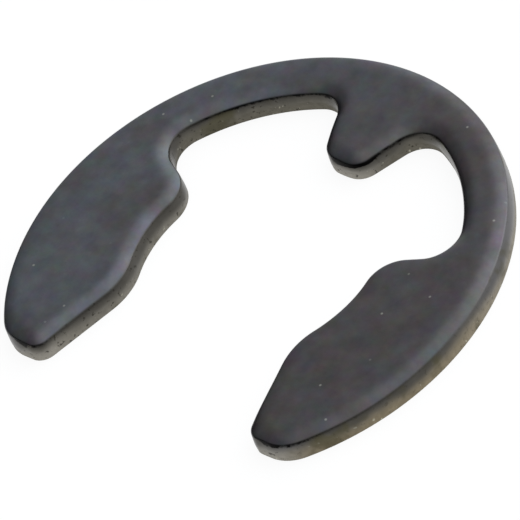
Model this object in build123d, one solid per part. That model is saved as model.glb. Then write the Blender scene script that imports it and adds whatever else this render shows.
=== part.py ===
from build123d import *
from math import cos, radians, sin, sqrt, tan
import os

# E-clip: a flat retaining ring, blanked in one piece from spring steel strip.
# It is pushed sideways into a shaft groove, with its mouth first. Two prongs and
# a centre lug then grip the bottom of the groove, and the rim stands proud of the
# shaft as a shoulder. The three grips are joined by a thin springy back, which
# the two recesses beside the lug leave narrow so that it can flex.
#
# Frame: millimetres. The clip lies flat with its burr face on z = 0 and its
# rolled face up. The origin is the centre of the groove that it grips, the mouth
# opens towards -Y, and the outline is mirrored about the YZ plane.

# Main sizes
groove_diameter = 15.0      # bottom of the shaft groove, which all three grips touch
outer_diameter = 29.4       # round rim
rim_offset = 0.12           # rim centre, from the groove centre towards the mouth
thickness = 1.5             # strip thickness
back_width = 2.7            # width of the springy back, between rim and recesses

# Centre lug
lug_width = 2.5             # between its sides, level with the bottom of the groove
lug_side_angle = 23.4       # each side leans out from the axis by this, to a wide root
lug_nose_radius = 5.3       # crown of the nose
lug_corner_radius = 1.3     # nose to side
lug_root_radius = 1.65      # side to recess

# Prongs, from the recess round to the tip
recess_end_radius = 1.8     # recess to shoulder
shoulder_angle = 26.2       # the shoulder rises outwards from the X axis by this
seat_start_angle = 19.3     # the seat begins this far above the X axis
seat_end_angle = 33.8       # and ends this far below it
seat_start_radius = 2.2     # shoulder to seat
seat_end_radius = 4.1       # seat to lead-in, the bump that snaps over the shaft
lead_in_angle = 15.0        # the mouth widens by this on each side
tip_reach = 10.5            # square end of the prongs, from the groove centre
tip_inner_radius = 1.0      # lead-in to end
tip_outer_radius = 2.45     # end to rim

# Cut edge, as blanking leaves it: rolled over at the top, then a smooth band, then
# a torn band that tapers inwards to the burr face
roll_width = 0.6            # the roll's reach over the top face
roll_radius = 1.3           # its section, an arc that leaves the top face smoothly
roll_nose_radius = 0.2      # roll to wall
torn_height = 0.65          # up from the burr face
torn_taper = 0.07           # inwards at the burr face
edge_break = 0.05           # burr side, after tumbling

round_share = 0.9           # of a wall, the most that the rounds at its two ends take up

groove_radius = groove_diameter / 2
rim_radius = outer_diameter / 2
recess_radius = rim_radius - back_width
groove_centre = Vector(0, 0)
rim_centre = Vector(0, -rim_offset)
lug_nose = Vector(0, groove_radius)
lug_nose_centre = Vector(0, groove_radius + lug_nose_radius)


def heading(angle):
    """Unit vector at this many degrees from the X axis."""
    return Vector(cos(radians(angle)), sin(radians(angle)))


def line_to_circle(start, direction, centre, radius, far=True):
    """Where a straight line meets a circle: its far crossing, or its near one."""
    to_centre = centre - start
    along = to_centre.dot(direction)
    half_chord = sqrt(radius**2 - to_centre.length**2 + along**2)
    return start + direction * (along + half_chord if far else along - half_chord)


def mirrored(point):
    """The same point on the other side of the YZ plane."""
    return Vector(-point.X, point.Y)


def arc_between(start, end, centre, radius):
    """The short way round a circle, from one point of it to another."""
    middle = centre + (start + end - centre * 2).normalized() * radius
    return ThreePointArc(start, middle, end)


def fitted_rounds(wall, *rounds):
    """Radii of the rounds at the two ends of a wall, both smaller where it is short.

    Each is given as (radius, direction before, direction after), and takes up
    radius * tan(bend / 2) of the wall.
    """
    taken = sum(radius * tan(radians(before.get_angle(after) / 2)) for radius, before, after in rounds)
    share = min(1, wall.length * round_share / taken)
    return [radius * share for radius, before, after in rounds]


def make_outline():
    """The blanked shape: sharp corners first, then each one rounded."""
    lug_side = heading(90 - lug_side_angle)
    lug_edge = Vector(lug_width / 2, groove_radius)
    lug_corner = line_to_circle(lug_edge, lug_side, lug_nose_centre, lug_nose_radius, far=False)
    lug_root = line_to_circle(lug_edge, lug_side, rim_centre, recess_radius)

    seat_start = heading(seat_start_angle) * groove_radius
    seat_end = heading(-seat_end_angle) * groove_radius
    recess_end = line_to_circle(seat_start, heading(shoulder_angle), rim_centre, recess_radius)

    lead_in = heading(lead_in_angle - 90)
    tip_inner = seat_end + lead_in * ((tip_reach + seat_end.Y) / -lead_in.Y)
    tip_outer = line_to_circle(tip_inner, heading(0), rim_centre, rim_radius)

    edges = [
        ThreePointArc(mirrored(lug_corner), lug_nose, lug_corner),
        ThreePointArc(tip_outer, rim_centre + heading(90) * rim_radius, mirrored(tip_outer)),
    ]
    for place in (lambda point: point, mirrored):
        edges += [
            Line(place(lug_corner), place(lug_root)),
            arc_between(place(lug_root), place(recess_end), rim_centre, recess_radius),
            Line(place(recess_end), place(seat_start)),
            arc_between(place(seat_start), place(seat_end), groove_centre, groove_radius),
            Line(place(seat_end), place(tip_inner)),
            Line(place(tip_inner), place(tip_outer)),
        ]
    outline = make_face(edges)

    shoulder = -heading(shoulder_angle)
    recess_end_round, seat_start_round = fitted_rounds(
        recess_end - seat_start,
        (recess_end_radius, (recess_end - rim_centre).rotate(Axis.Z, -90), shoulder),
        (seat_start_radius, shoulder, seat_start.rotate(Axis.Z, -90)),
    )
    tip_inner_round, tip_outer_round = fitted_rounds(
        tip_outer - tip_inner,
        (tip_inner_radius, lead_in, heading(0)),
        (tip_outer_radius, heading(0), (tip_outer - rim_centre).rotate(Axis.Z, 90)),
    )
    corners = [
        (lug_corner, lug_corner_radius),
        (lug_root, lug_root_radius),
        (recess_end, recess_end_round),
        (seat_start, seat_start_round),
        (seat_end, seat_end_radius),
        (tip_inner, tip_inner_round),
        (tip_outer, tip_outer_round),
    ]
    for corner, radius in corners:
        pair = [
            outline.vertices().sort_by_distance(point)[0]
            for point in (corner, mirrored(corner))
        ]
        outline = fillet(pair, radius)
    return outline


def edges_at(solid, height):
    """The edges that lie level at this height."""
    return solid.edges().filter_by_position(Axis.Z, height - 0.001, height + 0.001)


def make_clip():
    """The outline at strip thickness, with its rolled and torn edges.

    The roll is a round of roll_radius on a slightly larger blank, cut back to the
    outline where it has dropped off steeply enough.
    """
    outline = make_outline()
    larger_blank = extrude(offset(outline, amount=roll_radius - roll_width), thickness)
    larger_blank = fillet(edges_at(larger_blank, thickness), roll_radius)
    clip = larger_blank & extrude(outline, thickness)

    wall_top = thickness - roll_radius + sqrt(roll_radius**2 - roll_width**2)
    clip = fillet(edges_at(clip, wall_top), roll_nose_radius)

    burr_face = clip.faces().sort_by(Axis.Z)[0]
    clip = chamfer(burr_face.edges(), torn_taper, torn_height, reference=burr_face)
    return chamfer(edges_at(clip, 0), edge_break)


e_clip = make_clip()
e_clip.label = "e_clip"

os.makedirs("parts", exist_ok=True)
export_step(e_clip, "parts/e_clip.step")
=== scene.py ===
import math
from collections import namedtuple

import bpy
import numpy as np
from mathutils import Matrix, Vector
from mathutils.geometry import delaunay_2d_cdt


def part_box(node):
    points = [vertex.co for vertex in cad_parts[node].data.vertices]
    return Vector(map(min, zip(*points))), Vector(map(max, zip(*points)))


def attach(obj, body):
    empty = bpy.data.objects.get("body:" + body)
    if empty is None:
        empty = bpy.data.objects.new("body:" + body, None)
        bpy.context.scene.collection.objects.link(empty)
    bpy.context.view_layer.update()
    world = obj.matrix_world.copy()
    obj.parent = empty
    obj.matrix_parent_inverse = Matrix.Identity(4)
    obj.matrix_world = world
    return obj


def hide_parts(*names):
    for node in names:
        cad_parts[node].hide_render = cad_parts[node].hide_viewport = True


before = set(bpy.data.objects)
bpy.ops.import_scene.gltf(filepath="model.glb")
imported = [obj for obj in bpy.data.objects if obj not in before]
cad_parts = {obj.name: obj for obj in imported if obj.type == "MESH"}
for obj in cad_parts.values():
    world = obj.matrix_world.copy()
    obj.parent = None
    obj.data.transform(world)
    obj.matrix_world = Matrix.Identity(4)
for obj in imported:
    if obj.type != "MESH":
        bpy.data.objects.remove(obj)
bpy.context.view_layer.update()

bl_info = {
    "name": "Blackened E-Clip",
    "version": (1, 0, 0),
    "blender": (4, 5, 0),
    "location": "3D View > Sidebar > E-Clip",
    "description": "Builds a blanked, blackened spring-steel E-clip on its CAD frame, with a plain stage",
    "category": "Add Mesh",
}

MM = 0.001
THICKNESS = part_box("e_clip")[1].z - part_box("e_clip")[0].z
SENSOR_WIDTH = 36.0         # of the camera, in millimetres


# ---------------------------------------------------------------- sizes and colours

class ClipSizes(bpy.types.PropertyGroup):
    """Sizes of the clip. Lengths are in metres, as Blender keeps them."""

    groove_radius: bpy.props.FloatProperty(
        name="Groove Radius", description="Bottom of the shaft groove, which lug and seats touch",
        default=7.5 * MM, unit="LENGTH")
    rim_radius: bpy.props.FloatProperty(
        name="Rim Radius", description="Round outside of the clip",
        default=14.7 * MM, unit="LENGTH")
    rim_offset: bpy.props.FloatProperty(
        name="Rim Offset", description="Rim centre, from the groove centre towards the mouth",
        default=0.12 * MM, unit="LENGTH")
    back_width: bpy.props.FloatProperty(
        name="Back Width", description="Springy back, between the rim and the recesses",
        default=2.7 * MM, unit="LENGTH")
    lug_width: bpy.props.FloatProperty(
        name="Lug Width", description="Centre lug between its sides, level with the groove bottom",
        default=2.5 * MM, unit="LENGTH")
    lug_side_angle: bpy.props.FloatProperty(
        name="Lug Side Angle", description="Lean of each side of the lug, out from the axis",
        default=math.radians(23.4), subtype="ANGLE")
    lug_nose_radius: bpy.props.FloatProperty(
        name="Lug Nose Radius", description="Crown of the lug's nose",
        default=5.3 * MM, unit="LENGTH")
    shoulder_angle: bpy.props.FloatProperty(
        name="Shoulder Angle", description="Rise of the shoulder, outwards from the X axis",
        default=math.radians(26.2), subtype="ANGLE")
    seat_start_angle: bpy.props.FloatProperty(
        name="Seat Start Angle", description="Where the seat begins, above the X axis",
        default=math.radians(19.3), subtype="ANGLE")
    seat_end_angle: bpy.props.FloatProperty(
        name="Seat End Angle", description="Where the seat ends, below the X axis",
        default=math.radians(33.8), subtype="ANGLE")
    lead_in_angle: bpy.props.FloatProperty(
        name="Lead-in Angle", description="Widening of the mouth, on each side",
        default=math.radians(15.0), subtype="ANGLE")
    tip_reach: bpy.props.FloatProperty(
        name="Tip Reach", description="End of the prongs, from the groove centre",
        default=10.5 * MM, unit="LENGTH")
    lug_corner_radius: bpy.props.FloatProperty(
        name="Lug Corner Radius", description="Round from the lug's nose to its side",
        default=1.3 * MM, unit="LENGTH")
    lug_root_radius: bpy.props.FloatProperty(
        name="Lug Root Radius", description="Round from the lug's side to the recess",
        default=1.65 * MM, unit="LENGTH")
    recess_end_radius: bpy.props.FloatProperty(
        name="Recess End Radius", description="Round from the recess to the shoulder",
        default=1.8 * MM, unit="LENGTH")
    seat_start_radius: bpy.props.FloatProperty(
        name="Seat Start Radius", description="Round from the shoulder to the seat",
        default=2.2 * MM, unit="LENGTH")
    seat_end_radius: bpy.props.FloatProperty(
        name="Seat End Radius", description="Bump from the seat to the lead-in, which snaps over the shaft",
        default=4.1 * MM, unit="LENGTH")
    tip_inner_radius: bpy.props.FloatProperty(
        name="Tip Inner Radius", description="Round from the lead-in to the prong's end",
        default=1.0 * MM, unit="LENGTH")
    tip_outer_radius: bpy.props.FloatProperty(
        name="Tip Outer Radius", description="Round from the prong's end to the rim",
        default=2.45 * MM, unit="LENGTH")
    roll_width: bpy.props.FloatProperty(
        name="Roll Width", description="Reach of the rolled edge over the top face",
        default=1.05 * MM, unit="LENGTH")
    roll_drop: bpy.props.FloatProperty(
        name="Roll Drop", description="Fall of the rolled edge down to its nose, at wide die clearance",
        default=0.23 * MM, unit="LENGTH")
    nose_radius: bpy.props.FloatProperty(
        name="Nose Radius", description="Rolled edge to burnished band, at wide die clearance",
        default=0.28 * MM, unit="LENGTH")
    burnish_lean: bpy.props.FloatProperty(
        name="Burnish Lean", description="Lean of the burnished band at the nose, at wide die clearance",
        default=math.radians(24.0), subtype="ANGLE")
    torn_height: bpy.props.FloatProperty(
        name="Torn Height", description="Torn band up from the burr face, at wide die clearance",
        default=0.64 * MM, unit="LENGTH")
    torn_taper: bpy.props.FloatProperty(
        name="Torn Taper", description="How far the torn band draws in at the burr face",
        default=0.01 * MM, unit="LENGTH")
    grain_depth: bpy.props.FloatProperty(
        name="Torn Grain Depth", description="Roughness of the torn band, peak to valley",
        default=0.03 * MM, unit="LENGTH")
    edge_break: bpy.props.FloatProperty(
        name="Edge Break", description="Tumbled edge of the burr face",
        default=0.03 * MM, unit="LENGTH")
    rim_loose_angle: bpy.props.FloatProperty(
        name="Rim Loose Side",
        description="Way that the rim faces where its die clearance is widest, from +X",
        default=math.radians(-30.0), subtype="ANGLE")
    bore_loose_angle: bpy.props.FloatProperty(
        name="Inner Loose Side", description="Way that the inner edges face where theirs is widest, from +X",
        default=math.radians(-50.0), subtype="ANGLE")
    tight_roll: bpy.props.FloatProperty(
        name="Tight Roll", description="Drop of the roll at tight die clearance, to that at wide",
        default=0.1, min=0.0, max=1.0, subtype="FACTOR")
    tight_nose: bpy.props.FloatProperty(
        name="Tight Nose", description="Nose radius at tight die clearance, to that at wide",
        default=0.5, min=0.0, max=1.0, subtype="FACTOR")
    tight_lean: bpy.props.FloatProperty(
        name="Tight Lean", description="Burnished band's lean at tight die clearance, to that at wide",
        default=0.25, min=0.01, max=1.0, subtype="FACTOR")
    tight_torn: bpy.props.FloatProperty(
        name="Tight Torn", description="Torn band's height at tight die clearance, to that at wide",
        default=0.42, min=0.0, max=1.0, subtype="FACTOR")
    corner_roll: bpy.props.FloatProperty(
        name="Corner Roll", description="Growth of the roll on convex corners, by share, times their radius",
        default=1.2 * MM, unit="LENGTH")
    corner_nose: bpy.props.FloatProperty(
        name="Corner Nose", description="Growth of the nose on convex corners, by share, times their radius",
        default=0.4 * MM, unit="LENGTH")


class SteelColours(bpy.types.PropertyGroup):
    """Colours of the blackened steel."""

    # The first face colour is paler and bluer than the second: a painted reflection, laid on towards the -X
    # prong
    face_painted_reflection: bpy.props.StringProperty(
        name="Face Blue", description="Rolled face towards the -X prong, as sRGB hex",
        default="#575a5f")
    face_grey: bpy.props.StringProperty(
        name="Face Grey", description="Rolled face elsewhere, as sRGB hex",
        default="#4e4d4f")
    face_cloud: bpy.props.StringProperty(
        name="Face Clouds", description="Brown clouds on the rolled face, as sRGB hex",
        default="#494343")
    dust: bpy.props.StringProperty(
        name="Dust", description="Specks on the rolled face, as sRGB hex",
        default="#a3a59c")
    burnished_dark: bpy.props.StringProperty(
        name="Burnished, Dark", description="Burnished band, where darkest, as sRGB hex",
        default="#45433e")
    burnished_pale: bpy.props.StringProperty(
        name="Burnished, Pale", description="Burnished band, where palest, as sRGB hex",
        default="#55534f")
    # Paler colours where the edge is rubbed, and where it carries painted light: on the rim towards +Y and
    # on convex corners
    burnished_bare_and_lit: bpy.props.StringProperty(
        name="Burnished, Bare", description="Burnished band where the rim is worn, as sRGB hex",
        default="#6c6c70")
    torn_inner_dark: bpy.props.StringProperty(
        name="Torn Inner, Dark", description="Torn band on the inner edges, where darkest, as sRGB hex",
        default="#5c594f")
    torn_inner_pale: bpy.props.StringProperty(
        name="Torn Inner, Pale", description="Torn band on the inner edges, where palest, as sRGB hex",
        default="#7c786d")
    torn_rim_dark: bpy.props.StringProperty(
        name="Torn Rim, Dark", description="Torn band on the rim, where darkest, as sRGB hex",
        default="#776e5a")
    torn_rim_pale: bpy.props.StringProperty(
        name="Torn Rim, Pale", description="Torn band on the rim, where palest, as sRGB hex",
        default="#9b907a")
    torn_bare_and_lit_dark: bpy.props.StringProperty(
        name="Torn Bare, Dark", description="Torn band where it is worn, where darkest, as sRGB hex",
        default="#908c83")
    torn_bare_and_lit_pale: bpy.props.StringProperty(
        name="Torn Bare, Pale", description="Torn band where it is worn, where palest, as sRGB hex",
        default="#afaba2")
    # Partly chipped oxide, partly painted glints of light
    chip_and_glint: bpy.props.StringProperty(
        name="Flecks", description="Bright flecks in the torn band, as sRGB hex",
        default="#c6c4b2")
    dried_oil: bpy.props.StringProperty(
        name="Dried Oil", description="Oil that dried on the cut edge, as sRGB hex",
        default="#4a4731")
    pit: bpy.props.StringProperty(
        name="Pits", description="Pits in the cut edge, as sRGB hex",
        default="#2a2820")
    # Painted shade: a near-black line along the nose, where the rolled edge turns into the dark
    scale: bpy.props.StringProperty(
        name="Scale", description="Scale in the line of the nose, as sRGB hex",
        default="#121110")


class StageSettings(bpy.types.PropertyGroup):
    """Camera, floor and lights."""

    view_azimuth: bpy.props.FloatProperty(
        name="View Azimuth", description="Camera's turn about the vertical",
        default=math.radians(58.67), subtype="ANGLE")
    view_tilt: bpy.props.FloatProperty(
        name="View Tilt", description="Camera's tilt away from looking straight down",
        default=math.radians(46.87), subtype="ANGLE")
    view_roll: bpy.props.FloatProperty(
        name="View Roll", description="Camera's roll about its own axis",
        default=math.radians(-26.66), subtype="ANGLE")
    view_distance: bpy.props.FloatProperty(
        name="View Distance", description="Camera to the groove centre",
        default=548.8 * MM, unit="LENGTH")
    view_right: bpy.props.FloatProperty(
        name="Centre Right", description="Groove centre, right of the picture's centre",
        default=0.195 * MM, unit="LENGTH")
    view_below: bpy.props.FloatProperty(
        name="Centre Below", description="Groove centre, below the picture's centre",
        default=0.654 * MM, unit="LENGTH")
    lens: bpy.props.FloatProperty(
        name="Lens", description="Focal length for a 36 mm wide sensor, in millimetres",
        default=691.8)
    floor_size: bpy.props.FloatProperty(
        name="Floor Size", description="Length of each side of the floor",
        default=1.0, unit="LENGTH")
    floor_gap: bpy.props.FloatProperty(
        name="Floor Gap", description="Floor below the burr face, as the two would flicker in one plane",
        default=0.01 * MM, unit="LENGTH")
    floor_colour: bpy.props.StringProperty(
        name="Floor Colour", description="Floor, as sRGB hex",
        default="#ffffff")
    floor_glow: bpy.props.FloatProperty(
        name="Floor Glow", description="Share of the floor's white that no shadow reaches",
        default=0.9, subtype="FACTOR")
    ceiling_light: bpy.props.FloatVectorProperty(
        name="Ceiling Light", description="Azimuth from +X and elevation of the middle of the ceiling light",
        size=2, default=(math.radians(220.0), math.radians(80.0)), unit="ROTATION")
    ceiling_spread: bpy.props.FloatVectorProperty(
        name="Ceiling Spread", description="Angles from its middle to where it fades and to where it ends",
        size=2, default=(math.radians(36.0), math.radians(79.0)), unit="ROTATION")
    ceiling_level: bpy.props.FloatProperty(
        name="Ceiling Level", description="Radiance of the ceiling light", default=0.52)
    soft_box: bpy.props.FloatVectorProperty(
        name="Soft Box", description="Azimuth from +X and elevation of the middle of the soft box",
        size=2, default=(math.radians(78.5), math.radians(14.0)), unit="ROTATION")
    soft_box_spread: bpy.props.FloatVectorProperty(
        name="Soft Box Spread", description="Angles from its middle to where it fades and to where it ends",
        size=2, default=(math.radians(1.0), math.radians(73.0)), unit="ROTATION")
    soft_box_level: bpy.props.FloatProperty(
        name="Soft Box Level", description="Radiance that the soft box adds", default=2.05)
    window: bpy.props.FloatVectorProperty(
        name="Window", description="Azimuth from +X and elevation of the middle of the window",
        size=2, default=(math.radians(38.0), math.radians(48.0)), unit="ROTATION")
    window_spread: bpy.props.FloatVectorProperty(
        name="Window Spread", description="Angles from its middle to where it fades and to where it ends",
        size=2, default=(math.radians(36.0), math.radians(83.0)), unit="ROTATION")
    window_level: bpy.props.FloatProperty(
        name="Window Level", description="Radiance that the window adds", default=0.84)
    pale_wall: bpy.props.FloatVectorProperty(
        name="Pale Wall", description="Azimuth from +X and elevation of the middle of the pale wall",
        size=2, default=(math.radians(139.5), math.radians(15.7)), unit="ROTATION")
    pale_wall_spread: bpy.props.FloatVectorProperty(
        name="Pale Wall Spread", description="Angles from its middle to where it fades and to where it ends",
        size=2, default=(math.radians(5.0), math.radians(26.0)), unit="ROTATION")
    pale_wall_level: bpy.props.FloatProperty(
        name="Pale Wall Level", description="Radiance that the pale wall adds", default=1.69)
    room_level: bpy.props.FloatProperty(
        name="Room Level", description="Radiance of the dim room everywhere", default=0.02)
    light_colour: bpy.props.StringProperty(
        name="Light Colour", description="Light, as sRGB hex",
        default="#fafcff")


# ---------------------------------------------------------------- helpers

def linear(hex_value):
    """sRGB hex to linear RGBA."""
    channels = [int(hex_value.lstrip("#")[i:i + 2], 16) / 255 for i in (0, 2, 4)]
    return [c / 12.92 if c <= 0.04045 else ((c + 0.055) / 1.055) ** 2.4 for c in channels] + [1.0]


def add_node(tree, kind, inputs=None, **settings):
    """Adds a node. inputs maps a socket's name or index to a value or to an output to link."""
    node = tree.nodes.new(kind)
    for name, value in settings.items():
        setattr(node, name, value)
    for socket, value in (inputs or {}).items():
        if isinstance(value, bpy.types.NodeSocket):
            tree.links.new(value, node.inputs[socket])
        else:
            node.inputs[socket].default_value = value
    return node


def direction(azimuth, elevation):
    """Unit vector at an azimuth from +X and an elevation above the floor."""
    return Vector((math.cos(elevation) * math.cos(azimuth),
                   math.cos(elevation) * math.sin(azimuth), math.sin(elevation)))


# ---------------------------------------------------------------- outline

Line = namedtuple("Line", "point direction")
Arc = namedtuple("Arc", "centre radius turn")       # turn is 1 anticlockwise and -1 clockwise


def heading(angle):
    """Unit vector in the plane, at an angle from +X."""
    return np.array([math.cos(angle), math.sin(angle)])


def left_of(way):
    """The same vector, turned a quarter anticlockwise."""
    return np.array([-way[1], way[0]])


def shifted(curve, distance):
    """The same line or circle, moved to the left of travel by this distance."""
    if isinstance(curve, Line):
        return Line(curve.point + left_of(curve.direction) * distance, curve.direction)
    return Arc(curve.centre, curve.radius - curve.turn * distance, curve.turn)


def crossing(a, b, near):
    """Where two curves cross, nearest to a point: the common solution of their equations."""
    if isinstance(a, Line) and isinstance(b, Line):
        along = np.linalg.solve(np.c_[a.direction, -b.direction], b.point - a.point)[0]
        return a.point + a.direction * along
    if isinstance(a, Arc) and isinstance(b, Arc):
        between = b.centre - a.centre
        gap = np.linalg.norm(between)
        along = (gap**2 + a.radius**2 - b.radius**2) / (2 * gap)
        aside = math.sqrt(max(a.radius**2 - along**2, 0.0))
        unit = between / gap
        found = [a.centre + unit * along + left_of(unit) * side for side in (aside, -aside)]
    else:
        line, arc = (a, b) if isinstance(a, Line) else (b, a)
        offset = line.point - arc.centre
        along = offset @ line.direction
        half_chord = math.sqrt(max(along**2 - offset @ offset + arc.radius**2, 0.0))
        found = [line.point + line.direction * (side - along) for side in (half_chord, -half_chord)]
    return min(found, key=lambda point: np.linalg.norm(point - near))


def foot(curve, point):
    """The point of a curve that is nearest to a point."""
    if isinstance(curve, Line):
        return curve.point + curve.direction * ((point - curve.point) @ curve.direction)
    out = point - curve.centre
    return curve.centre + out / np.linalg.norm(out) * curve.radius


def stretch(curve, start, end, step):
    """Points along a curve from start to end, about step apart, without the end."""
    if isinstance(curve, Line):
        count = max(2, int(np.linalg.norm(end - start) / step))
        return start + (end - start) * np.linspace(0, 1, count, endpoint=False)[:, None]
    first, last = (math.atan2(*(p - curve.centre)[::-1]) for p in (start, end))
    sweep = curve.turn * ((curve.turn * (last - first)) % (2 * math.pi))
    count = max(2, int(abs(sweep) * curve.radius / step))
    angles = first + sweep * np.linspace(0, 1, count, endpoint=False)
    return curve.centre + curve.radius * np.c_[np.cos(angles), np.sin(angles)]


def rounded_chain(curves, corners, start, end, step):
    """Points along curves joined by rounds. A corner is (radius, turn, place near it).

    The centre of a round is where the two curves cross once both are shifted by its
    radius towards the side it turns to, and its ends are the feet of that centre.
    """
    points, here = [], start
    for curve, following, (radius, turn, near) in zip(curves, curves[1:], corners):
        centre = crossing(shifted(curve, turn * radius), shifted(following, turn * radius), near)
        leave, join = foot(curve, centre), foot(following, centre)
        points += [stretch(curve, here, leave, step),
                   stretch(Arc(centre, radius, turn), leave, join, step)]
        here = join
    points += [stretch(curves[-1], here, end, step), end[None]]
    return np.vstack(points)


def clip_outline(s, spacing):
    """The closed outline, anticlockwise about the steel and evenly spaced.

    The right half runs from the lug's nose down the prong and round the rim to the
    top, as tangent lines and arcs, and the left half is its mirror image. Both are
    first worked out four times as fine, and then spaced out by their length.
    """
    groove, rim = np.zeros(2), np.array([0.0, -s.rim_offset])
    nose_centre = np.array([0.0, s.groove_radius + s.lug_nose_radius])
    lug_edge = np.array([s.lug_width / 2, s.groove_radius])
    seat_start = heading(s.seat_start_angle) * s.groove_radius
    seat_end = heading(-s.seat_end_angle) * s.groove_radius

    nose = Arc(nose_centre, s.lug_nose_radius, 1)
    lug_side = Line(lug_edge, heading(math.pi / 2 - s.lug_side_angle))
    recess = Arc(rim, s.rim_radius - s.back_width, -1)
    shoulder = Line(seat_start, -heading(s.shoulder_angle))
    seat = Arc(groove, s.groove_radius, -1)
    lead_in = Line(seat_end, heading(s.lead_in_angle - math.pi / 2))
    tip = Line(np.array([0.0, -s.tip_reach]), heading(0.0))
    edge = Arc(rim, s.rim_radius, 1)

    root = crossing(lug_side, recess, np.array([s.lug_width, s.rim_radius]))
    recess_end = crossing(shoulder, recess, np.array([s.rim_radius, s.groove_radius / 2]))
    tip_inner = crossing(lead_in, tip, seat_end)
    tip_outer = crossing(tip, edge, tip_inner)
    corners = [
        (s.lug_corner_radius, 1, lug_edge),
        (s.lug_root_radius, -1, root),
        (s.recess_end_radius, -1, recess_end),
        (s.seat_start_radius, 1, seat_start),
        (s.seat_end_radius, 1, seat_end),
        (s.tip_inner_radius, 1, tip_inner),
        (s.tip_outer_radius, 1, tip_outer),
    ]
    curves = [nose, lug_side, recess, shoulder, seat, lead_in, tip, edge]
    fine_spacing = spacing / 4
    half = rounded_chain(curves, corners, np.array([0.0, s.groove_radius]),
                         rim + [0.0, s.rim_radius], fine_spacing)
    whole = np.vstack([half, half[-2:0:-1] * [-1, 1]])
    closed = np.vstack([whole, whole[:1]])
    travel = np.r_[0, np.cumsum(np.linalg.norm(np.diff(closed, axis=0), axis=1))]
    count = int(travel[-1] / spacing)
    at = np.linspace(0, travel[-1], count, endpoint=False)
    return np.c_[np.interp(at, travel, closed[:, 0]), np.interp(at, travel, closed[:, 1])]


def outward(points):
    """Unit normals of a closed anticlockwise outline, pointing away from the steel."""
    along = np.roll(points, -1, axis=0) - np.roll(points, 1, axis=0)
    along /= np.linalg.norm(along, axis=1)[:, None]
    return np.c_[along[:, 1], -along[:, 0]]


# ---------------------------------------------------------------- cut edge

Shares = namedtuple("Shares", "roll nose lean torn")


def grain(shape, longest, shortest, seed):
    """Seeded noise on a grid that closes on itself, about -1 to 1.

    White noise keeps only the waves between the longest and the shortest length,
    given in grid steps, with strength falling with length as in natural grain.
    """
    random = np.random.default_rng(seed)
    waves = np.fft.rfft2(random.standard_normal(shape))
    row, column = np.fft.fftfreq(shape[0])[:, None], np.fft.rfftfreq(shape[1])[None]
    rate = np.hypot(row, column)
    keep = np.exp(-(rate * shortest)**2) * (1 - np.exp(-(rate * longest)**2))
    field = np.fft.irfft2(waves * keep, s=shape)
    full_strength = 2.5 * field.std()
    return np.clip(field / full_strength, -1, 1)


def smooth_step(value):
    """0 to 1 as value goes from 0 to 1, level at both ends: 3 v^2 - 2 v^3."""
    value = np.clip(value, 0, 1)
    return value * value * (3 - 2 * value)


def blurred(values, reach):
    """A closed row of values, each a Gaussian mean over its neighbours within reach steps."""
    rate = np.fft.rfftfreq(len(values))
    return np.fft.irfft(np.fft.rfft(values) * np.exp(-2 * (np.pi * rate * reach)**2), len(values))


def on_rim(s, outline):
    """Which points of the outline are on the rim, and not on the inner edges."""
    tolerance = 0.2 * MM
    return np.hypot(outline[:, 0], outline[:, 1] + s.rim_offset) > s.rim_radius - tolerance


def convex_curvature(normals, reach, spacing):
    """The outline's curvature at each point, evened out over reach, and 0 where it is hollow.

    It is the cross product of the normal and its change, for each metre of outline.
    """
    turn = np.roll(normals, -1, axis=0) - np.roll(normals, 1, axis=0)
    curvature = (turn[:, 1] * normals[:, 0] - turn[:, 0] * normals[:, 1]) / (2 * spacing)
    return np.clip(blurred(curvature, reach / spacing), 0, None)


def blanking_shares(s, outline, normals, corner, reach, spacing):
    """What blanking left at each point of the outline, as shares of the full sizes.

    The die clearance is the cosine of the angle between the way that the edge faces
    and the loose side, so it runs from -1 at its tightest to 1. The roll's drop, the
    nose's radius, the burnished band's lean and the torn band's height grow with it
    from their tight shares to full size. The roll and the nose grow further on the
    loose side's convex corners, by the outline's curvature, as blanking draws more
    there, and half as much at the ends of the prongs.
    """
    clearance = np.where(on_rim(s, outline), normals @ heading(s.rim_loose_angle),
                         normals @ heading(s.bore_loose_angle))
    clearance = blurred(clearance, reach / spacing)

    def grown(tight, start, span):
        """From the tight share to 1, as the clearance goes on by span from start."""
        return tight + (1 - tight) * smooth_step((clearance - start) / span)

    ends_top, ends_fade, ends_share = -9 * MM, 3 * MM, 0.5
    off_ends = smooth_step((outline[:, 1] - ends_top) / ends_fade)
    drawn = corner * np.clip(clearance, 0, 1) * (ends_share + (1 - ends_share) * off_ends)
    return Shares(
        roll=grown(s.tight_roll, -0.9, 1.0) * (1 + s.corner_roll * drawn),
        nose=grown(s.tight_nose, -0.5, 1.0) * (1 + s.corner_nose * drawn),
        lean=grown(s.tight_lean, 0.0, 0.7),
        torn=grown(s.tight_torn, 0.2, 0.7))


def worn_and_lit_shares(s, outline, normals, corner):
    """How pale the cut edge turns at each point of the outline, 0 to 1, partly where it is rubbed and partly
    as painted light.

    Rubbed in part are the prongs' inner sides, which slide over the shaft. The convex corners turn pale
    partly because tumbling reaches them first, and partly as painted light that stands in for the recesses
    lying in shade. The rim towards +Y turns pale in part as a painted reflection of the lights on that side.
    """
    rim = on_rim(s, outline)
    inner_share, inner_top, inner_fade = 0.42, 3.2 * MM, 1.5 * MM
    lit_rim_share, lit_rim_fade = 0.65, 0.8
    blunt_curve, corner_fade = 0.15 / MM, 0.3 / MM
    inner_side = inner_share * smooth_step((inner_top - outline[:, 1]) / inner_fade) * ~rim
    # The rim towards +Y faces the lights: its paleness there is a painted reflection
    back = lit_rim_share * smooth_step((normals[:, 1] + 0.2) / lit_rim_fade) * rim
    # Convex corners: partly tumbling wear, partly painted light standing in for the recesses lying in shade
    return np.clip(inner_side + back + smooth_step((corner - blunt_curve) / corner_fade), 0, 1)


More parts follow.
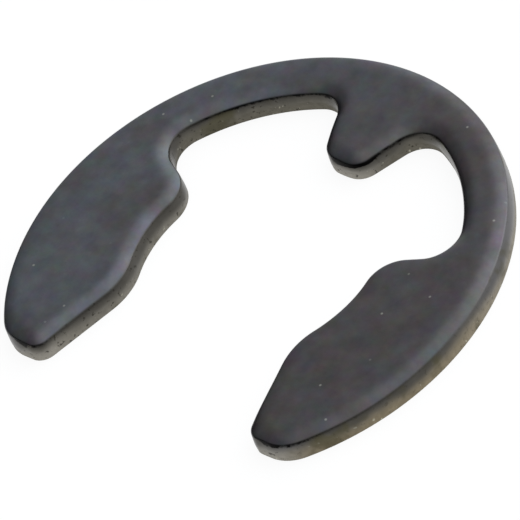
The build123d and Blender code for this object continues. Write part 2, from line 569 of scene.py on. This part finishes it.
def nose_shade_shares(s, outline, normals, corner):
    """How dark the painted shade along the line of the nose is at each point of the outline, 0 to 1.

    It lies round the lug, most at the lug's nose, and less in the recesses, at the tips and on the rim
    towards them.
    """
    lug_end, lug_fade = 4 * MM, 3 * MM
    tip_share, tip_top, tip_fade = 0.58, -7 * MM, 2 * MM
    rim_share, rim_top, rim_fade = 0.55, -0.35, 0.35
    lug = np.clip(0.5 + 1.5 * MM * corner, 0, 1) * smooth_step((outline[:, 1] - lug_end) / lug_fade)
    tips = tip_share * smooth_step((tip_top - outline[:, 1]) / tip_fade)
    inner = smooth_step(0.3 - 1.1 * normals[:, 1]) * (lug + tips)
    rim = rim_share * smooth_step((rim_top - normals[:, 1]) / rim_fade)
    return np.where(on_rim(s, outline), rim, inner)


def edge_section(s, shares):
    """The cut edge's section at each point of the outline, from the top face to the burr face.

    Gives the rows' insets from the outline, their heights, their turns from level to
    upright, and the insets at which the roll begins. The roll falls with the cube of
    the way across it, and the top face carries it up to the section's first row. Its
    nose is an arc tangent to it, and the burnished band a larger arc tangent to the
    nose and upright where the torn band begins. The torn band draws in linearly and
    ends in the edge break, a quarter circle.
    """
    roll_rows, nose_rows, burnished_rows, torn_rows, break_rows = 5, 10, 8, 11, 3
    roll_start = 0.8
    drop, nose_radius = s.roll_drop * shares.roll[:, None], s.nose_radius * shares.nose[:, None]
    torn_top = s.torn_height * shares.torn[:, None]
    lean = s.burnish_lean * (shares.lean * shares.nose)[:, None]
    across = np.linspace(roll_start, 1, roll_rows)
    slope = np.arctan(3 * drop / s.roll_width)
    parts = [np.broadcast_arrays(across * s.roll_width, THICKNESS - drop * across**3, slope * across**2)]

    def last_row():
        """The reach, the level and the turn that the section has come to."""
        return (row[:, -1:] for row in parts[-1])

    def add_arc(radius, last_turn, rows):
        """Carry the section on by an arc, from the turn that it has come to up to last_turn."""
        reach, level, turn = last_row()
        turns = turn + (last_turn - turn) * np.linspace(0, 1, rows + 1)[1:]
        parts.append([reach + radius * (np.sin(turns) - np.sin(turn)),
                      level + radius * (np.cos(turns) - np.cos(turn)), turns])

    add_arc(nose_radius, math.pi / 2 - lean, nose_rows)
    add_arc((parts[-1][1][:, -1:] - torn_top) / np.sin(lean), math.pi / 2, burnished_rows)
    reach, level, turn = last_row()
    outermost = reach
    down = np.linspace(0, 1, torn_rows + 1)[1:]
    parts.append(np.broadcast_arrays(reach - s.torn_taper * down,
                                     level + (s.edge_break - torn_top) * down, turn))
    reach, level, turn = last_row()
    round_turn = np.linspace(0, math.pi / 2, break_rows + 1)[1:]
    parts.append(np.broadcast_arrays(reach - s.edge_break * (1 - np.cos(round_turn)),
                                     level - s.edge_break * np.sin(round_turn), turn))
    reach, level, turn = (np.hstack(rows) for rows in zip(*parts))
    return outermost - reach, level, turn, outermost[:, 0]


def torn_surface(s, height, torn):
    """How deep the torn band's grain lies at each point of the cut edge, and how torn it looks, 0 to 1.

    The top of the band wanders along the edge. The grain fades out over a short way
    there, and the look over a longer one. The grain also fades out at the edge break.
    """
    columns, rows = height.shape
    wander_seed, wander_reach, wander_share = 5, 6, 0.12
    grain_seed, longest, shortest = 11, 30, 2.5
    grain_fade, look_fade = 0.25 * MM, 0.85 * MM
    wander = blurred(np.random.default_rng(wander_seed).standard_normal(columns), wander_reach)
    top = s.torn_height * (torn * (1 + wander_share * wander / wander.std()))[:, None]
    loose = smooth_step(0.5 + (top - height) / grain_fade) * np.clip(height / (2 * s.edge_break), 0, 1)
    rough = grain((columns, rows), longest, shortest, grain_seed)
    return (loose * s.grain_depth * (0.5 + 0.5 * rough),
            smooth_step(0.5 + (top - height) / look_fade))


def edge_values(s, outline, normals, corner, turn, torn, spacing):
    """What the steel reads at each point of the cut edge, 0 to 1, by the attribute's name.

    cut_edge and the painted shade along the nose go by the turn from level to upright, the shade as a line
    along the nose. The rim, the paleness from rubbing and painted light, and the painted shade's strength go
    round the outline.
    """
    def evened(values, reach):
        """Evened out round the outline, and the same down the edge."""
        return blurred(values, reach / spacing)[:, None]

    def risen(start, span):
        """0 to 1 as the turn goes on by span from start, both in degrees."""
        return smooth_step((turn - math.radians(start)) / math.radians(span))

    line = risen(30, 20) * smooth_step((math.radians(84) - turn) / math.radians(20))
    return {
        "cut_edge": risen(35, 35),
        "torn_band": torn,
        "rim": evened(on_rim(s, outline).astype(float), 1.0 * MM),
        "worn_and_lit": evened(worn_and_lit_shares(s, outline, normals, corner), 0.5 * MM),
        "nose_shade_line": line * evened(nose_shade_shares(s, outline, normals, corner), 0.5 * MM),
    }


def fill(ring, outline, normals, spacing):
    """Triangles across a flat ring, over a square grid of points inside it.

    Gives the grid's points, their distances from the outline, their nearest points of
    it, looked for among every fourth, and the triangles, which count the ring's points
    first.
    """
    every = 4
    low, high = ring.min(axis=0), ring.max(axis=0)
    x, y = np.meshgrid(np.arange(low[0], high[0], spacing), np.arange(low[1], high[1], spacing))
    grid = np.c_[x.ravel(), y.ravel()]
    away = grid[:, None, :] - outline[None, ::every, :]
    nearest = np.argmin((away**2).sum(axis=2), axis=1)
    offset = away[np.arange(len(grid)), nearest]
    nearest *= every
    depth = np.linalg.norm(offset, axis=1)
    ring_depth = np.linalg.norm(ring - outline, axis=1)[nearest]
    inside = ((offset * normals[nearest]).sum(axis=1) < 0) & (depth > ring_depth + spacing / 2)
    flat = np.vstack([ring, grid[inside]]) / MM
    found, _, triangles, *_ = delaunay_2d_cdt(flat.tolist(), [], [list(range(len(ring)))], 1, 1e-6)
    if len(found) != len(flat):
        raise RuntimeError("the face's outline crosses itself")
    return grid[inside], depth[inside], nearest[inside], np.array(triangles)


def clip_mesh(s, name):
    """The clip as one closed surface: its cut edge carried round the outline, and two faces.

    A point of the edge is outline(u) - inset(u, v) * outward(u), at height(u, v).
    Grain moves the torn band in along the same normal. The top face carries the
    roll's cubic on inwards, by each point's distance from the outline.
    """
    spacing, top_spacing, bottom_spacing = 0.075 * MM, 0.22 * MM, 0.7 * MM
    blanking_reach = 1.0 * MM
    outline = clip_outline(s, spacing)
    normals = outward(outline)
    corner = convex_curvature(normals, blanking_reach, spacing)
    shares = blanking_shares(s, outline, normals, corner, blanking_reach, spacing)
    inset, height, turn, roll_inset = edge_section(s, shares)
    grain_inset, torn = torn_surface(s, height, shares.torn)
    flat = outline[:, None, :] - (inset + grain_inset)[:, :, None] * normals[:, None, :]
    edge = np.dstack([flat, height]).reshape(-1, 3)

    columns, rows = height.shape
    u, v = np.meshgrid(np.arange(columns), np.arange(rows - 1), indexing="ij")
    ahead = (u + 1) % columns
    quads = np.stack([u * rows + v, u * rows + v + 1, ahead * rows + v + 1, ahead * rows + v], axis=-1)

    top, depth, nearest, top_triangles = fill(flat[:, 0], outline, normals, top_spacing)
    across = np.clip(roll_inset[nearest] - depth, 0, None) / s.roll_width
    top = np.c_[top, THICKNESS - s.roll_drop * shares.roll[nearest] * across**3]
    bottom, _, _, bottom_triangles = fill(flat[:, -1], outline, normals, bottom_spacing)
    bottom = np.c_[bottom, np.zeros(len(bottom))]
    top_index = np.r_[np.arange(columns) * rows, len(edge) + np.arange(len(top))]
    bottom_index = np.r_[np.arange(columns) * rows + rows - 1,
                         len(edge) + len(top) + np.arange(len(bottom))]
    points = np.vstack([edge, top, bottom])
    faces = (quads.reshape(-1, 4).tolist() + top_index[top_triangles].tolist()
             + bottom_index[bottom_triangles[:, ::-1]].tolist())

    mesh = bpy.data.meshes.new(name)
    mesh.from_pydata(points, [], faces)
    mesh.polygons.foreach_set("use_smooth", np.ones(len(faces), bool))
    for attribute, on_edge in edge_values(s, outline, normals, corner, turn, torn, spacing).items():
        values = np.zeros(len(points))
        values[:len(edge)] = np.broadcast_to(on_edge, height.shape).ravel()
        mesh.attributes.new(attribute, "FLOAT", "POINT").data.foreach_set("value", values)
    mesh.update()
    return mesh


# ---------------------------------------------------------------- materials

def layered(tree, base, layers):
    """A colour with others laid over it in turn. A layer is (share, colour, way of blending)."""
    for share, colour, kind in layers:
        base = add_node(tree, "ShaderNodeMix", {0: share, 6: base, 7: colour},
                        data_type="RGBA", blend_type=kind).outputs[2]
    return base


def blackened_spring_steel(colours):
    """Spring steel, blanked, hardened, tumbled and black-oxide finished, with a trace of oil.

    The rolled face is smooth with a soft sheen, mottled blue and brown where the oxide took unevenly, with a
    few specks of dust, and paler and bluer towards the -X prong as a painted reflection. The burnished band
    of the cut edge is smooth and dark. The torn band below it is rough, so it took less oxide and shows pale
    and warm. Its bright marks are partly chipped oxide and partly painted glints. Both bands turn paler
    where they are rubbed, and as painted light on the rim towards +Y and on convex corners. A near-black
    line of painted shade runs along the nose.
    """
    material = bpy.data.materials.new("blackened_spring_steel")
    material.use_nodes = True
    tree = material.node_tree
    tree.nodes.clear()
    place = add_node(tree, "ShaderNodeTexCoord").outputs["Object"]
    side = add_node(tree, "ShaderNodeSeparateXYZ", {0: place}).outputs["X"]
    band = {name: add_node(tree, "ShaderNodeAttribute", attribute_name=name).outputs["Fac"]
            for name in ("cut_edge", "torn_band", "rim", "worn_and_lit", "nose_shade_line")}

    # Noises: the length of the blotches, which are 0.6 of a step of the texture, then the
    # detail and the roughness
    blotch = 0.6
    noise = {}
    for name, length, detail, roughness in (
            ("clouds", 2.2 * MM, 3.0, 0.5),
            ("mottle", 0.8 * MM, 5.0, 0.65),
            ("hues", 0.6 * MM, 5.0, 0.65),
            ("smears", 0.4 * MM, 2.0, 0.5),
            ("tears", 0.25 * MM, 3.0, 0.5),
            ("chips_and_glints", 0.2 * MM, 1.0, 0.5),
            ("dried_oil", 1.3 * MM, 3.0, 0.5),
            ("pits", 0.16 * MM, 2.0, 0.5),
            ("scale", 0.4 * MM, 4.0, 0.7),
            ("fine_grain", 0.18 * MM, 3.0, 0.5),
            ("coarse_grain", 0.12 * MM, 3.0, 0.6)):
        noise[name] = add_node(tree, "ShaderNodeTexNoise", {
            "Vector": place, "Scale": blotch / length, "Detail": detail, "Roughness": roughness}).outputs

    # Dust: round specks up to 0.2 mm across, faint in some cells of 2 mm
    dust_spacing = 2.0 * MM
    cell = add_node(tree, "ShaderNodeTexVoronoi", {"Vector": place, "Scale": 1 / dust_spacing},
                    voronoi_dimensions="2D").outputs
    cell_value = add_node(tree, "ShaderNodeSeparateColor", {0: cell["Color"]}).outputs[0]

    # Painted shade: a near-black line along the nose, where the line of the nose and its noise are high
    # together
    nose_shade_line = add_node(tree, "ShaderNodeMath", {0: band["nose_shade_line"], 1: noise["scale"]["Fac"]}).outputs[0]

    # Shares: each runs smoothly from first to last as its value goes from low to high
    share = {}
    for name, value, low, high, first, last in (
            # The face's painted reflection fades out from -X towards +X
            ("grey", side, -13 * MM, 4 * MM, 0.0, 1.0),
            ("clouds", noise["clouds"]["Fac"], 0.42, 0.68, 0.0, 0.5),
            ("speck", cell["Distance"], 0.02, 0.05, 1.0, 0.0),
            ("dusty", cell_value, 0.55, 1.0, 0.0, 0.5),
            # Bright marks on the torn band: partly chipped oxide, partly painted glints
            ("chips_and_glints", noise["chips_and_glints"]["Fac"], 0.7, 0.76, 0.0, 0.6),
            ("dried_oil", noise["dried_oil"]["Fac"], 0.54, 0.68, 0.0, 0.6),
            ("pits", noise["pits"]["Fac"], 0.62, 0.7, 0.0, 1.0),
            ("pit_strength", band["rim"], 0.0, 1.0, 0.7, 0.25),
            ("scale", nose_shade_line, 0.88, 1.08, 0.0, 1.0),
            ("roughness", band["torn_band"], 0.0, 1.0, 0.3, 0.6),
            ("grain", band["torn_band"], 0.0, 1.0, 0.0, 0.5)):
        share[name] = add_node(tree, "ShaderNodeMapRange", {
            "Value": value, "From Min": low, "From Max": high, "To Min": first, "To Max": last},
            interpolation_type="SMOOTHSTEP").outputs[0]
    for name, first, second in (
            ("dust", share["speck"], share["dusty"]),
            ("worn_and_lit_rim", band["rim"], band["worn_and_lit"]),
            ("pits", share["pits"], share["pit_strength"])):
        share[name] = add_node(tree, "ShaderNodeMath", {0: first, 1: second},
                               operation="MULTIPLY").outputs[0]

    # Oxide on the rolled face, with brown clouds, and a fine mottle of all hues, as oxide films of uneven
    # thickness have. It is bluer and paler towards the -X prong, which is a painted reflection and not the
    # oxide's colour
    mottle_share, hues_share = 0.38, 0.3
    face = layered(tree, linear(colours.face_painted_reflection), (
        (share["grey"], linear(colours.face_grey), "MIX"),
        (share["clouds"], linear(colours.face_cloud), "MIX"),
        (mottle_share, noise["mottle"]["Fac"], "OVERLAY"),
        (hues_share, noise["hues"]["Color"], "OVERLAY"),
        (share["dust"], linear(colours.dust), "MIX")))

    # Cut edge: burnished, then torn. The torn band is tan on the rim, olive on the inner edges and grey
    # where worn_and_lit is high, which is wear on the prongs' inner sides, partly wear and partly painted
    # light on convex corners, and painted reflection on the rim towards +Y. It has bright marks, partly
    # chipped oxide and partly painted glints. Oil has dried on the edge in places
    burnished = layered(tree, linear(colours.burnished_dark), (
        (noise["smears"]["Fac"], linear(colours.burnished_pale), "MIX"),
        (share["worn_and_lit_rim"], linear(colours.burnished_bare_and_lit), "MIX")))
    inner, rim, bare_and_lit = (
        layered(tree, linear(dark), ((noise["tears"]["Fac"], linear(pale), "MIX"),))
        for dark, pale in ((colours.torn_inner_dark, colours.torn_inner_pale),
                           (colours.torn_rim_dark, colours.torn_rim_pale),
                           (colours.torn_bare_and_lit_dark, colours.torn_bare_and_lit_pale)))
    torn = layered(tree, inner, (
        (band["rim"], rim, "MIX"),
        (band["worn_and_lit"], bare_and_lit, "MIX"),
        (share["chips_and_glints"], linear(colours.chip_and_glint), "MIX")))
    edge = layered(tree, burnished, (
        (band["torn_band"], torn, "MIX"),
        (share["dried_oil"], linear(colours.dried_oil), "MIX"),
        (share["pits"], linear(colours.pit), "MIX"),
        # Last, the painted shade along the nose
        (share["scale"], linear(colours.scale), "MIX")))
    colour = layered(tree, face, ((band["cut_edge"], edge, "MIX"),))

    fine = add_node(tree, "ShaderNodeBump", {
        "Strength": 0.12, "Distance": 0.01 * MM, "Height": noise["fine_grain"]["Fac"]}).outputs[0]
    coarse = add_node(tree, "ShaderNodeBump", {
        "Strength": share["grain"], "Distance": 0.03 * MM,
        "Height": noise["coarse_grain"]["Fac"], "Normal": fine}).outputs[0]
    shader = add_node(tree, "ShaderNodeBsdfPrincipled", {
        "Base Color": colour, "Metallic": 1.0, "Roughness": share["roughness"], "Normal": coarse})
    add_node(tree, "ShaderNodeOutputMaterial", {"Surface": shader.outputs[0]})
    return material


def floor_material(settings):
    """Matt white card.

    To the camera and in reflections it is nearly its own light, so its shadow is faint.
    """
    material = bpy.data.materials.new("matt_white_card")
    material.use_nodes = True
    tree = material.node_tree
    tree.nodes.clear()
    colour = linear(settings.floor_colour)
    card = add_node(tree, "ShaderNodeBsdfDiffuse", {"Color": colour}).outputs[0]
    glow = add_node(tree, "ShaderNodeEmission", {"Color": colour, "Strength": 1.0}).outputs[0]
    path = add_node(tree, "ShaderNodeLightPath").outputs
    seen = add_node(tree, "ShaderNodeMath", {0: path["Is Camera Ray"], 1: path["Is Glossy Ray"]}).outputs[0]
    share = add_node(tree, "ShaderNodeMath", {0: seen, 1: settings.floor_glow},
                     operation="MULTIPLY").outputs[0]
    mix = add_node(tree, "ShaderNodeMixShader", {0: share, 1: card, 2: glow})
    add_node(tree, "ShaderNodeOutputMaterial", {"Surface": mix.outputs[0]})
    return material


def studio_world(settings):
    """A dim room with a ceiling light, a soft box, a window, and a pale wall behind.

    Each adds its level within the first angle of its spread, and nothing past the
    second, with a smooth step between them.
    """
    world = bpy.data.worlds.new("studio")
    world.use_nodes = True
    tree = world.node_tree
    tree.nodes.clear()
    towards = add_node(tree, "ShaderNodeTexCoord").outputs["Generated"]
    level = settings.room_level
    for middle, spread, strength in (
            (settings.ceiling_light, settings.ceiling_spread, settings.ceiling_level),
            (settings.soft_box, settings.soft_box_spread, settings.soft_box_level),
            (settings.window, settings.window_spread, settings.window_level),
            (settings.pale_wall, settings.pale_wall_spread, settings.pale_wall_level)):
        cosine = add_node(tree, "ShaderNodeVectorMath", {0: towards, 1: direction(*middle)},
                          operation="DOT_PRODUCT")
        angle = add_node(tree, "ShaderNodeMath", {0: cosine.outputs["Value"]}, operation="ARCCOSINE")
        glow = add_node(tree, "ShaderNodeMapRange", {
            "Value": angle.outputs[0], "From Min": spread[0], "From Max": spread[1],
            "To Min": strength, "To Max": 0.0}, interpolation_type="SMOOTHSTEP")
        level = add_node(tree, "ShaderNodeMath", {0: glow.outputs[0], 1: level}).outputs[0]
    sky = add_node(tree, "ShaderNodeBackground", {
        "Color": linear(settings.light_colour), "Strength": level})
    add_node(tree, "ShaderNodeOutputWorld", {"Surface": sky.outputs[0]})
    return world


# ---------------------------------------------------------------- operators

class MESH_OT_e_clip(bpy.types.Operator):
    """Make the clip's detailed body in place of its plain CAD solid"""

    bl_idname = "mesh.e_clip"
    bl_label = "E-Clip"

    def execute(self, context):
        mesh = clip_mesh(context.scene.clip_sizes, "e_clip_body")
        mesh.materials.append(blackened_spring_steel(context.scene.steel_colours))
        clip = bpy.data.objects.new("e_clip_body", mesh)
        context.scene.collection.objects.link(clip)
        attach(clip, "root")
        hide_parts("e_clip")
        return {"FINISHED"}


class SCENE_OT_e_clip_stage(bpy.types.Operator):
    """Make the floor, the world with its lights, and the camera"""

    bl_idname = "scene.e_clip_stage"
    bl_label = "E-Clip Stage"

    def execute(self, context):
        settings = context.scene.stage_settings
        scene = context.scene
        scene.view_settings.view_transform = "Standard"

        half, level = settings.floor_size / 2, -settings.floor_gap
        corners = [(half * x, half * y, level) for x, y in ((-1, -1), (1, -1), (1, 1), (-1, 1))]
        mesh = bpy.data.meshes.new("floor")
        mesh.from_pydata(corners, [], [(0, 1, 2, 3)])
        mesh.materials.append(floor_material(settings))
        floor = bpy.data.objects.new("floor", mesh)
        scene.collection.objects.link(floor)

        scene.world = studio_world(settings)

        camera = bpy.data.cameras.new("camera")
        camera.lens = settings.lens
        camera.sensor_width = SENSOR_WIDTH
        camera.clip_end = 10.0
        turn = (Matrix.Rotation(settings.view_azimuth, 4, "Z")
                @ Matrix.Rotation(settings.view_tilt, 4, "X")
                @ Matrix.Rotation(settings.view_roll, 4, "Z"))
        holder = bpy.data.objects.new("camera", camera)
        holder.matrix_world = turn @ Matrix.Translation(
            (-settings.view_right, settings.view_below, settings.view_distance))
        scene.collection.objects.link(holder)
        scene.camera = holder
        return {"FINISHED"}


class VIEW3D_PT_e_clip(bpy.types.Panel):
    """Sidebar panel that lists the operators and their settings"""

    bl_label = "E-Clip"
    bl_idname = "VIEW3D_PT_e_clip"
    bl_space_type = "VIEW_3D"
    bl_region_type = "UI"
    bl_category = "E-Clip"

    def draw(self, context):
        layout = self.layout
        for operator in (MESH_OT_e_clip, SCENE_OT_e_clip_stage):
            layout.operator(operator.bl_idname)
        scene = context.scene
        for group in (scene.clip_sizes, scene.steel_colours, scene.stage_settings):
            column = layout.column()
            for name in group.__annotations__:
                column.prop(group, name)


CLASSES = (ClipSizes, SteelColours, StageSettings, MESH_OT_e_clip, SCENE_OT_e_clip_stage,
           VIEW3D_PT_e_clip)


def register():
    for cls in CLASSES:
        bpy.utils.register_class(cls)
    bpy.types.Scene.clip_sizes = bpy.props.PointerProperty(type=ClipSizes)
    bpy.types.Scene.steel_colours = bpy.props.PointerProperty(type=SteelColours)
    bpy.types.Scene.stage_settings = bpy.props.PointerProperty(type=StageSettings)


def unregister():
    del bpy.types.Scene.stage_settings
    del bpy.types.Scene.steel_colours
    del bpy.types.Scene.clip_sizes
    for cls in reversed(CLASSES):
        bpy.utils.unregister_class(cls)


def main():
    """Builds the clip and its stage."""
    register()
    bpy.ops.mesh.e_clip()
    bpy.ops.scene.e_clip_stage()


if __name__ == "__main__":
    main()
